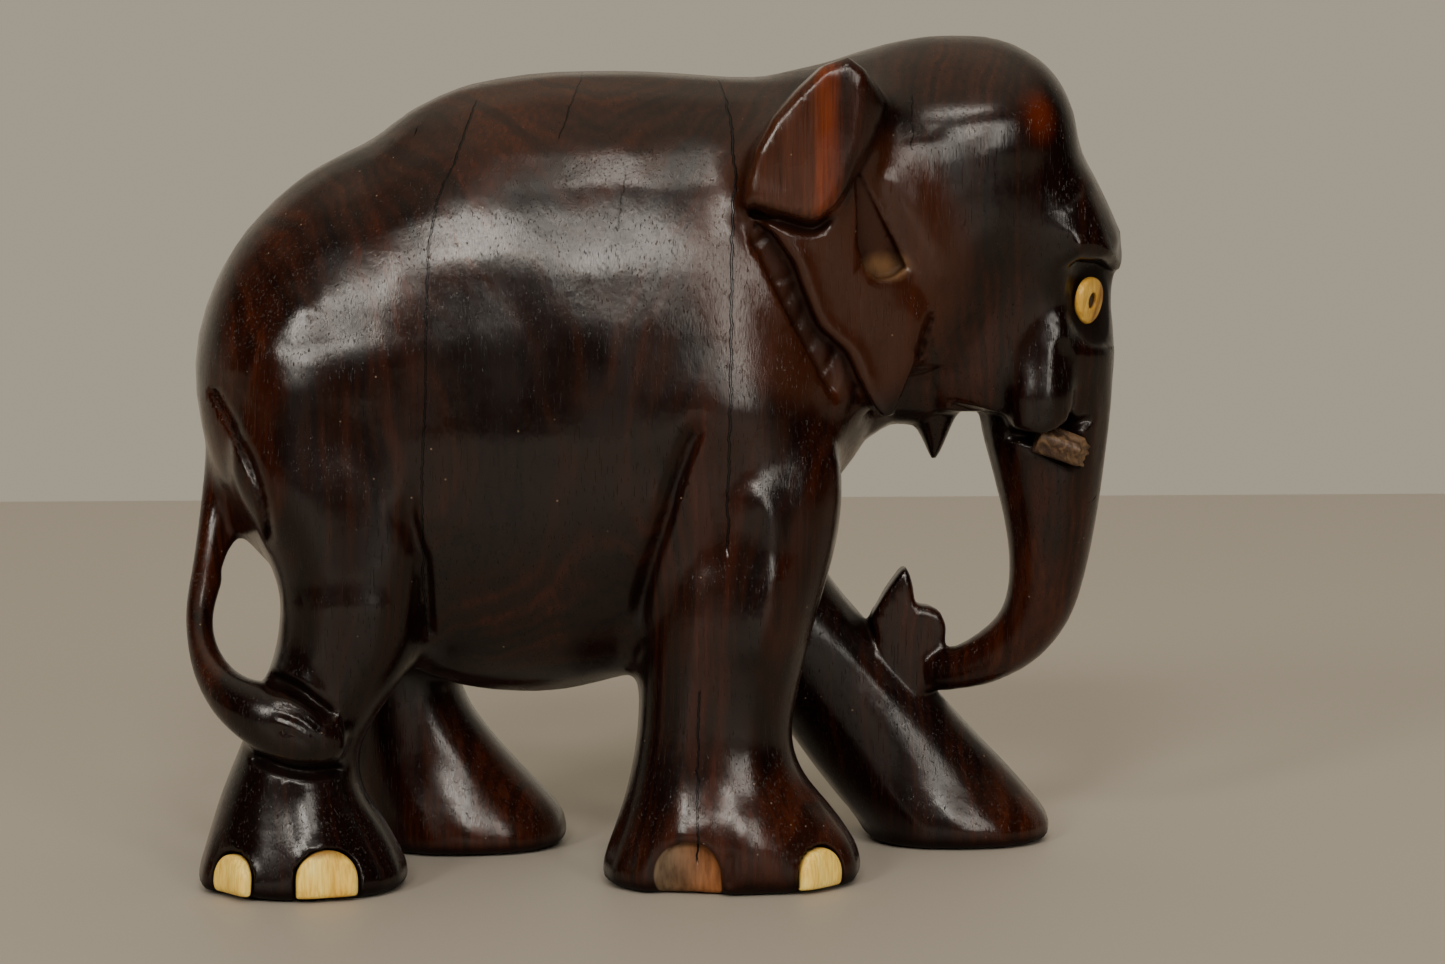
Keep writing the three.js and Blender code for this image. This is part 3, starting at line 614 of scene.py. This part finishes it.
def tusk_stub(side, name):
    """The stump of a tusk, broken off short, with a splintered end."""
    block = inlay_block(nodes[name])
    x, y, z = block.places()
    splinters = 0.35 * np.sin(3.1 * y + 1.3 * z) + 0.25 * np.sin(5.3 * z - 2.1 * y + 0.8)
    across, up, out = turned(block, TUSK_ROOT * (1, side, 1), TUSK_AIM * (1, side, 1))
    facets = 0.2 * np.cos(5 * np.arctan2(up, across) + 1)
    shaft = np.hypot(across, up * 1.15) - (2.45 - 0.03 * out) + facets
    broken = 0.93 * (x - 58.9) - 0.25 * (z - 58.5) + 0.45 * side * (y - side * 8) + 0.6 * splinters
    block.field = blend_most(blend_most(shaft, -out, 0.2), broken, 0.25).astype(np.float32)
    return block.surface(name + "_wood")


clay.field = roughed_out()
head()
sockets()
limbs()
ears()
grooves()
tail()
feet()
undulation()
skin = clay.field.copy()
bare_pocket()
pockets()
body = clay.surface("elephant_body", BODY_DETAIL)
pieces = [(body, "carved_body", "dark_wood")]
for name in NAILS:
    pieces.append((nail(name, skin), name, "nail_bone"))
for side, hand in ((RIGHT, "right"), (LEFT, "left")):
    pieces.append((eye(side, hand + "_eye_bone"), hand + "_eye", "eye_bone"))
    pieces.append((pupil_plug(side, hand + "_pupil_plug"), hand + "_pupil", "pupil_horn"))
    pieces.append((tusk_stub(side, hand + "_tusk_stub"), hand + "_tusk_stub", "stained_bone"))
for piece, node, slot in pieces:
    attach(piece, "root")
    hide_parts(node)


# ---------------------------------------------------------------------------------------------
# Materials
# ---------------------------------------------------------------------------------------------

class Shader:
    """A material's nodes, written as plain calls. Each call returns the new node's output socket."""

    def __init__(self, name, roughness, coat=0.0, coat_roughness=0.1, specular=0.5):
        self.material = bpy.data.materials.new(name)
        self.material.use_nodes = True
        self.tree = self.material.node_tree
        self.bsdf = self.tree.nodes["Principled BSDF"]
        self.bsdf.inputs["Roughness"].default_value = roughness
        self.bsdf.inputs["Coat Weight"].default_value = coat
        self.bsdf.inputs["Coat Roughness"].default_value = coat_roughness
        self.bsdf.inputs["Specular IOR Level"].default_value = specular
        place = self.add("ShaderNodeTexCoord").outputs["Object"]
        self.place = self.scaled(place, 1 / MM, 1 / MM, 1 / MM)
        split = self.add("ShaderNodeSeparateXYZ", Vector=self.place)
        self.x, self.y, self.z = split.outputs

    def add(self, kind, settings=None, **inputs):
        node = self.tree.nodes.new(kind)
        for key, value in (settings or {}).items():
            setattr(node, key, value)
        for key, value in inputs.items():
            self.feed(node.inputs[key.replace("_", " ")], value)
        return node

    def feed(self, socket, value):
        if isinstance(value, bpy.types.NodeSocket):
            self.tree.links.new(value, socket)
        elif isinstance(value, tuple) and len(value) == 3 and socket.type == "RGBA":
            socket.default_value = (*value, 1)
        else:
            socket.default_value = value

    def math(self, operation, a, b=0.0, c=0.0, clamp=False):
        node = self.add("ShaderNodeMath", {"operation": operation, "use_clamp": clamp})
        for socket, value in zip(node.inputs, (a, b, c)):
            self.feed(socket, value)
        return node.outputs[0]

    def plus(self, a, b, clamp=False):
        return self.math("ADD", a, b, clamp=clamp)

    def minus(self, a, b):
        return self.math("SUBTRACT", a, b)

    def times(self, a, b):
        return self.math("MULTIPLY", a, b)

    def scaled(self, vector, x, y, z):
        node = self.add("ShaderNodeVectorMath", {"operation": "MULTIPLY"})
        self.feed(node.inputs[0], vector)
        node.inputs[1].default_value = (x, y, z)
        return node.outputs[0]

    def noise(self, x, y, z, detail=2.0, distortion=0.0):
        """Noise with that many cells to the millimetre along each axis."""
        node = self.add("ShaderNodeTexNoise", Vector=self.scaled(self.place, x, y, z))
        node.inputs["Scale"].default_value = 1.0
        node.inputs["Detail"].default_value = detail
        node.inputs["Distortion"].default_value = distortion
        return node.outputs["Fac"]

    def ranged(self, value, low, high, to_low=0.0, to_high=1.0):
        node = self.add("ShaderNodeMapRange", {"interpolation_type": "SMOOTHSTEP"}, Value=value)
        limits = {"From Min": low, "From Max": high, "To Min": to_low, "To Max": to_high}
        for key, number in limits.items():
            node.inputs[key].default_value = number
        return node.outputs[0]

    def ramp(self, value, stops):
        node = self.add("ShaderNodeValToRGB", Fac=value)
        band = node.color_ramp
        while len(band.elements) < len(stops):
            band.elements.new(0.5)
        for element, (place, colour) in zip(band.elements, stops):
            element.position = place
            element.color = (*colour, 1)
        return node.outputs["Color"]

    def mix(self, factor, a, b, blend="MIX"):
        node = self.add("ShaderNodeMix", {"data_type": "RGBA", "blend_type": blend})
        self.feed(node.inputs["Factor"], factor)
        self.feed(node.inputs[6], a)
        self.feed(node.inputs[7], b)
        return node.outputs[2]

    def grained(self, colour, pattern, dark, light):
        """The colour, darkened and lightened along a pattern."""
        return self.mix(1.0, colour, self.ramp(pattern, [(0.3, dark), (0.7, light)]), "MULTIPLY")

    def ball(self, centre, inner, outer, squash=(1, 1, 1)):
        """1 within a ball on each side of the body, falling to 0 at its outer radius."""
        away = 0.0
        for axis, c, k in zip((self.x, self.math("ABSOLUTE", self.y), self.z), centre, squash):
            part = self.times(self.minus(axis, c), k)
            away = self.plus(self.times(part, part), away)
        return self.ranged(self.math("SQRT", away), inner, outer, 1.0, 0.0)

    def crack(self, path, width):
        """1 on a fine uneven line down the right side, through (x, z) points from the top down."""
        top, foot = path[0][1], path[-1][1]
        xs = [x for x, z in path]
        low, span = min(xs) - 1, max(xs) - min(xs) + 2
        height = self.math("DIVIDE", self.minus(self.z, foot), top - foot)
        curve = self.add("ShaderNodeFloatCurve", Value=height)
        bends = curve.mapping.curves[0].points
        places = [((z - foot) / (top - foot), (x - low) / span) for x, z in reversed(path)]
        while len(bends) < len(places):
            bends.new(0.5, 0.5)
        for bend, place in zip(bends, places):
            bend.location = place
        curve.mapping.update()
        middle = self.math("MULTIPLY_ADD", curve.outputs[0], span, low)
        jitter = self.times(self.minus(self.noise(0.02, 0.02, 0.8, 3.0), 0.5), 0.9)
        gap = self.math("ABSOLUTE", self.minus(self.minus(self.x, middle), jitter))
        line = self.ranged(gap, 0.4 * width, width, 1.0, 0.0)
        lower_end, upper_end = self.ranged(height, 0.0, 0.03), self.ranged(height, 0.97, 1.0, 1.0, 0.0)
        ends = self.times(lower_end, upper_end)
        side = self.math("LESS_THAN", self.y, -1.0)
        return self.times(self.times(line, ends), side)

    def bump(self, height, distance, normal=None):
        node = self.add("ShaderNodeBump", Height=height)
        node.inputs["Distance"].default_value = distance * MM
        if normal is not None:
            self.feed(node.inputs["Normal"], normal)
        return node.outputs[0]


# Drying cracks: a path and a half width.
CRACKS = [([(-24.4, 106.6), (-27.7, 97.7), (-31.0, 87.1), (-31.7, 66.2), (-32.3, 53.0), (-31.7, 33.4)],
           0.17),
          ([(-10.3, 109.9), (-14.0, 100.4)], 0.10),
          ([(-5.1, 95.8), (-6.4, 88.2)], 0.09),
          ([(6.6, 109.4), (9.5, 96.1), (9.1, 91.1), (8.7, 76.7), (8.1, 44.8)], 0.20),
          ([(4.4, 27.4), (4.1, 15.4), (4.0, 4.0)], 0.16),
          ([(33.7, 106.6), (33.4, 99.1)], 0.10)]

BLACK_WOOD = (0.0042, 0.0010, 0.0005)
RED_WOOD = (0.030, 0.0064, 0.0020)
RAW_WOOD, OLD_RAW_WOOD = (0.27, 0.135, 0.050), (0.10, 0.062, 0.034)
SPOT_RED = (0.085, 0.012, 0.002)
EAR_BROWN = (0.060, 0.016, 0.006)
# the colour of the painted shade in the recesses and eye sockets
PAINTED_SHADE = (0.0035, 0.0012, 0.0007)
DUST = (0.30, 0.22, 0.15)


def strongest(shader, values):
    total = values[0]
    for value in values[1:]:
        total = shader.math("MAXIMUM", total, value)
    return total


def dark_wood():
    """Oiled, polished heartwood. Its growth rings lie round an upright pith inside the body."""
    m = Shader("polished_rosewood", 0.20, coat=0.58, coat_roughness=0.13, specular=0.10)
    warp = m.times(m.minus(m.noise(0.035, 0.035, 0.014, 3.0), 0.5), 16.0)
    dx, dy = m.plus(m.x, 12.0), m.minus(m.y, 6.0)
    radius = m.math("SQRT", m.plus(m.times(dx, dx), m.times(dy, dy)))
    rings = m.plus(radius, warp)
    fine = m.math("SINE", m.times(rings, 4.2))
    broad = m.math("SINE", m.times(rings, 0.9))
    streaks = m.noise(1.5, 1.5, 0.05, 4.0)
    patches = m.noise(0.03, 0.03, 0.018, 3.0, 0.6)
    redness = m.plus(m.ranged(patches, 0.38, 0.66), m.times(fine, 0.12))
    redness = m.plus(redness, m.times(broad, 0.22), clamp=True)
    colour = m.mix(redness, BLACK_WOOD, RED_WOOD)
    colour = m.mix(m.ranged(broad, 0.75, 0.98, 0.0, 0.6), colour, BLACK_WOOD)
    colour = m.grained(colour, streaks, (0.6, 0.6, 0.6), (1.45, 1.4, 1.35))

    ear = m.ball((22, 19, 84), 17.0, 22.0)
    colour = m.mix(m.times(ear, 0.45), colour, EAR_BROWN)
    wander = m.times(m.minus(m.noise(0.25, 0.25, 0.02), 0.5), 3.0)
    across = m.plus(m.x, wander)
    bands = m.ramp(m.ranged(across, 9.0, 31.0), [
        (0.0, (0.040, 0.013, 0.006)), (0.42, (0.052, 0.015, 0.006)), (0.53, (0.125, 0.024, 0.0050)),
        (0.64, (0.085, 0.015, 0.0035)), (0.74, (0.014, 0.0035, 0.0015)), (0.84, (0.024, 0.005, 0.002)),
        (1.0, (0.006, 0.002, 0.001))])
    bands = m.grained(bands, m.noise(2.2, 2.2, 0.07, 3.0), (0.55, 0.5, 0.5), (1.4, 1.4, 1.4))
    flap = m.times(m.ball((19.5, 25.5, 100.0), 10.5, 12.5, (1, 1.6, 1)), m.ranged(m.z, 88.5, 90.5))
    colour = m.mix(flap, colour, bands)
    forehead_spot = m.times(m.ball((51.3, 13.5, 104.0), 0.5, 4.6, (1.3, 1, 0.8)), 0.8)
    colour = m.mix(forehead_spot, colour, SPOT_RED)

    # Painted shade in the recesses (ambient occlusion) and round the eye sockets; the polish is duller
    # there too.
    open_to_air = m.add("ShaderNodeAmbientOcclusion", {"samples": 6}, Distance=3.5 * MM).outputs["AO"]
    unpolished_and_shaded = m.ranged(open_to_air, 0.45, 0.93, 1.0, 0.0)
    # painted shadow in the eye sockets, under the brows
    unpolished_and_shaded = m.math("MAXIMUM", unpolished_and_shaded, m.times(m.ball((61.0, 7.0, 78.0), 4.8, 6.2), 0.85))
    colour = m.mix(m.times(unpolished_and_shaded, 0.8), colour, PAINTED_SHADE)

    raw = m.mix(m.noise(0.8, 0.8, 0.15, 3.0), RAW_WOOD, OLD_RAW_WOOD)
    ear_pocket = m.ball((30.0, 18.2, 83.6), 1.0, 3.4, (0.8, 0.7, 1.3))
    colour = m.mix(m.times(ear_pocket, 0.75), colour, raw)
    pocket = m.times(m.ball((3.0, 25.2, 2.6), 4.6, 4.9), m.math("LESS_THAN", m.y, -10.0))
    pocket = m.times(pocket, m.ranged(m.y, -25.9, -25.5))
    pocket_wood = m.mix(m.ranged(m.x, -1.0, 7.0), (0.110, 0.075, 0.045), (0.22, 0.085, 0.030))
    pocket_wood = m.grained(pocket_wood, m.noise(1.2, 1.2, 0.25, 4.0), (0.55, 0.5, 0.45), (1.3, 1.3, 1.3))
    colour = m.mix(pocket, colour, pocket_wood)

    cracks = strongest(m, [m.crack(path, width) for path, width in CRACKS])
    colour = m.mix(cracks, colour, (0.001, 0.0005, 0.0004))
    dust = m.add("ShaderNodeTexVoronoi", {"feature": "F1"}, Vector=m.scaled(m.place, 0.42, 0.42, 0.42))
    dust.inputs["Scale"].default_value = 1.0
    fleck = m.add("ShaderNodeSeparateColor", Color=dust.outputs["Color"])
    specks = m.times(m.ranged(dust.outputs["Distance"], 0.03, 0.07, 1.0, 0.0),
                     m.math("GREATER_THAN", fleck.outputs[0], 0.72))
    colour = m.mix(m.times(specks, 0.5), colour, DUST)
    m.feed(m.bsdf.inputs["Base Color"], colour)

    pores = m.ranged(m.noise(6.0, 6.0, 0.25, 2.0), 0.62, 0.74)
    scratches = m.noise(8.0, 8.0, 0.30, 2.0)
    wear = m.noise(0.12, 0.12, 0.10, 4.0)
    rough = m.plus(m.ranged(wear, 0.3, 0.7, 0.20, 0.30), m.times(pores, 0.12))
    rough = m.plus(rough, m.times(strongest(m, [pocket, m.times(ear_pocket, 0.8)]), 0.5))
    m.feed(m.bsdf.inputs["Roughness"], m.plus(rough, m.times(unpolished_and_shaded, 0.35)))
    m.feed(m.bsdf.inputs["Coat Weight"], m.ranged(unpolished_and_shaded, 0.0, 0.6, 0.58, 0.05))
    m.feed(m.bsdf.inputs["Coat Roughness"], m.ranged(wear, 0.3, 0.7, 0.16, 0.23))
    relief = m.minus(m.times(scratches, 0.5), pores)
    relief = m.minus(relief, m.times(cracks, 9.0))
    relief = m.plus(relief, m.times(m.noise(0.45, 0.45, 0.30, 2.0), 1.6))
    surface = m.bump(relief, 0.030)
    m.feed(m.bsdf.inputs["Normal"], surface)
    m.feed(m.bsdf.inputs["Coat Normal"], surface)
    return m.material


def bone(name, browning_from, tones):
    """Yellowed bone, browner above the given height, with painted shade where it meets the wood and in its
    hollows.
    """
    m = Shader(name, 0.38, specular=0.3)
    colour = m.ramp(m.noise(0.5, 0.5, 0.18, 4.0, 0.5), tones)
    fibres = m.ramp(m.noise(3.5, 3.5, 0.3, 3.0), [(0.35, (0.80, 0.74, 0.62)), (0.6, (1.05, 1.05, 1.05))])
    colour = m.mix(1.0, colour, fibres, "MULTIPLY")
    # Browner towards the top, above an uneven height.
    uneven_height = m.plus(m.z, m.times(m.noise(0.6, 0.6, 0.6, 3.0), 1.6))
    top_browning = m.ranged(uneven_height, browning_from, browning_from + 1.3)
    colour = m.mix(m.times(top_browning, 0.8), colour, (0.20, 0.085, 0.022))
    # Painted shade where ambient occlusion finds the bone hemmed in, as where it meets the wood.
    occlusion_shade = m.add("ShaderNodeAmbientOcclusion", {"samples": 8}, Distance=0.6 * MM).outputs["AO"]
    colour = m.mix(m.ranged(occlusion_shade, 0.5, 0.95, 0.75, 0.0), colour, (0.16, 0.07, 0.02))
    m.feed(m.bsdf.inputs["Base Color"], colour)
    m.feed(m.bsdf.inputs["Roughness"], m.ranged(m.noise(1.5, 1.5, 0.5, 3.0), 0.3, 0.7, 0.28, 0.5))
    m.feed(m.bsdf.inputs["Normal"], m.bump(m.noise(4.0, 4.0, 0.6, 3.0), 0.05))
    return m.material


def stump():
    """Stained bone, paler where it is broken off."""
    m = Shader("broken_tusk", 0.5)
    colour = m.ramp(m.noise(0.7, 0.7, 0.35, 4.0, 0.8), [
        (0.3, (0.020, 0.009, 0.005)), (0.52, (0.060, 0.030, 0.014)), (0.72, (0.17, 0.10, 0.050))])
    end = m.times(m.ranged(m.x, 55.6, 57.6), m.ranged(m.noise(0.5, 0.5, 0.5, 3.0), 0.4, 0.6))
    colour = m.mix(m.times(end, 0.8), colour, (0.15, 0.085, 0.038))
    m.feed(m.bsdf.inputs["Base Color"], colour)
    m.feed(m.bsdf.inputs["Normal"], m.bump(m.noise(2.0, 2.0, 0.8, 4.0), 0.25))
    return m.material


def mottled(name, roughness, scale, dark, light):
    """A plain material in two tones."""
    m = Shader(name, roughness)
    tones = m.ramp(m.noise(scale, scale, scale, 3.0), [(0.3, dark), (0.7, light)])
    m.feed(m.bsdf.inputs["Base Color"], tones)
    return m.material


def pupil():
    return mottled("dark_pupil", 0.35, 1.5, (0.004, 0.002, 0.001), (0.016, 0.007, 0.004))


def peg():
    return mottled("peg_wood", 0.6, 2.0, (0.06, 0.022, 0.010), (0.16, 0.07, 0.03))


EYE_TONES = [(0.3, (0.28, 0.13, 0.020)), (0.55, (0.60, 0.34, 0.050)), (0.75, (0.76, 0.50, 0.11))]
NAIL_TONES = [(0.3, (0.82, 0.50, 0.075)), (0.55, (0.93, 0.67, 0.15)), (0.75, (0.95, 0.77, 0.26))]
NEVER = 300.0          # a height above everything, for bone that is not browner at the top
looks = {"dark_wood": dark_wood(), "eye_bone": bone("eye_bone", NEVER, EYE_TONES),
         "nail_bone": bone("nail_bone", 6.1, NAIL_TONES), "stained_bone": stump(),
         "pupil_horn": pupil()}
for piece, node, slot in pieces:
    piece.data.materials.append(looks[slot])
peg_look = peg()
for name in INLAYS:
    nodes[name].data.materials.clear()
    nodes[name].data.materials.append(looks["pupil_horn"] if "pupil" in name else peg_look)


# ---------------------------------------------------------------------------------------------
# Floor, light and camera
# ---------------------------------------------------------------------------------------------

FLOOR_COLOUR = (0.42, 0.38, 0.325, 1)
FLOOR_SIZE = 6.0
FLOOR_BEHIND = 0.6             # how far the floor goes on behind the elephant, to its far edge


def stage():
    middle = (0, FLOOR_BEHIND - FLOOR_SIZE / 2, -0.0002)
    bpy.ops.mesh.primitive_plane_add(size=FLOOR_SIZE, location=middle)
    floor = bpy.context.object
    floor.name = "floor"
    m = Shader("floor", 0.55)
    m.bsdf.inputs["Base Color"].default_value = FLOOR_COLOUR
    floor.data.materials.append(m.material)


ROOM_COLOUR = (1.0, 0.88, 0.68, 1)
CEILING, FAR_WALL, GLOOM = 0.80, 0.45, 0.012       # strengths that light the elephant
SEEN_WALL = 0.42                                   # and the strength that the camera sees


def room():
    """A pale room that is bright overhead and behind the elephant, and dim on the camera's side."""
    world = bpy.data.worlds.new("room")
    bpy.context.scene.world = world
    world.use_nodes = True
    tree = world.node_tree
    back = tree.nodes["Background"]
    way = tree.nodes.new("ShaderNodeTexCoord")
    split = tree.nodes.new("ShaderNodeSeparateXYZ")
    tree.links.new(way.outputs["Generated"], split.inputs[0])

    def shade(socket, low, high, to_high):
        node = tree.nodes.new("ShaderNodeMapRange")
        node.interpolation_type = "SMOOTHSTEP"
        tree.links.new(socket, node.inputs["Value"])
        for key, number in {"From Min": low, "From Max": high, "To Min": 0.0, "To Max": to_high}.items():
            node.inputs[key].default_value = number
        return node.outputs[0]

    above = shade(split.outputs[2], 0.55, 1.0, CEILING)
    behind = shade(split.outputs[1], 0.05, 0.75, FAR_WALL)
    total = tree.nodes.new("ShaderNodeMath")
    total.operation = "MAXIMUM"
    tree.links.new(above, total.inputs[0])
    tree.links.new(behind, total.inputs[1])
    lift = tree.nodes.new("ShaderNodeMath")
    lift.inputs[1].default_value = GLOOM
    tree.links.new(total.outputs[0], lift.inputs[0])
    dim = tree.nodes.new("ShaderNodeMix")
    path = tree.nodes.new("ShaderNodeLightPath")
    tree.links.new(path.outputs["Is Camera Ray"], dim.inputs["Factor"])
    tree.links.new(lift.outputs[0], dim.inputs[2])
    dim.inputs[3].default_value = SEEN_WALL
    back.inputs["Color"].default_value = ROOM_COLOUR
    tree.links.new(dim.outputs[0], back.inputs["Strength"])


WINDOW_COLOUR = (1.0, 0.93, 0.83)
LIT_POINT = Vector((0, 0, 0.06))       # the middle of the elephant, in metres


def pane(name, azimuth, elevation, width, height, radiance, distance=3.0):
    """A window pane seen from the elephant at those angles, of that width and height in degrees."""
    light = bpy.data.lights.new(name, "AREA")
    light.shape = "RECTANGLE"
    light.size = 2 * distance * math.tan(math.radians(width / 2))
    light.size_y = 2 * distance * math.tan(math.radians(height / 2))
    light.energy = radiance * math.pi * light.size * light.size_y
    light.color = WINDOW_COLOUR
    a, e = math.radians(azimuth), math.radians(elevation)
    way = Vector((math.sin(a) * math.cos(e), -math.cos(a) * math.cos(e), math.sin(e)))
    obj = bpy.data.objects.new(name, light)
    obj.location = LIT_POINT + way * distance
    obj.rotation_euler = (-way).to_track_quat("-Z", "Y").to_euler()
    obj.visible_camera = False
    bpy.context.scene.collection.objects.link(obj)


def lights():
    """Window panes, placed as seen from the middle of the elephant."""
    pane("window_left", -33, 24, 8, 13, 30)
    pane("window_middle", -13, 31, 9, 9, 31)
    pane("window_right", 6, 26, 6, 13, 32)
    pane("window_top", 8, 50, 13, 6, 17)
    pane("far_window", 24, 18, 8, 24, 12)


CAMERA_PLACE = (-0.02206, -0.46837, 0.09097)       # metres
CAMERA_FORWARD = Vector((0.0661, 0.9946, -0.0802))
LENS, SENSOR = 83.96, 36                           # millimetres


def camera():
    lens = bpy.data.cameras.new("camera")
    lens.lens, lens.sensor_width = LENS, SENSOR
    lens.clip_start, lens.clip_end = 0.01, 20
    obj = bpy.data.objects.new("camera", lens)
    obj.location = CAMERA_PLACE
    obj.rotation_euler = CAMERA_FORWARD.to_track_quat("-Z", "Y").to_euler()
    bpy.context.scene.collection.objects.link(obj)
    bpy.context.scene.camera = obj


stage()
room()
lights()
camera()
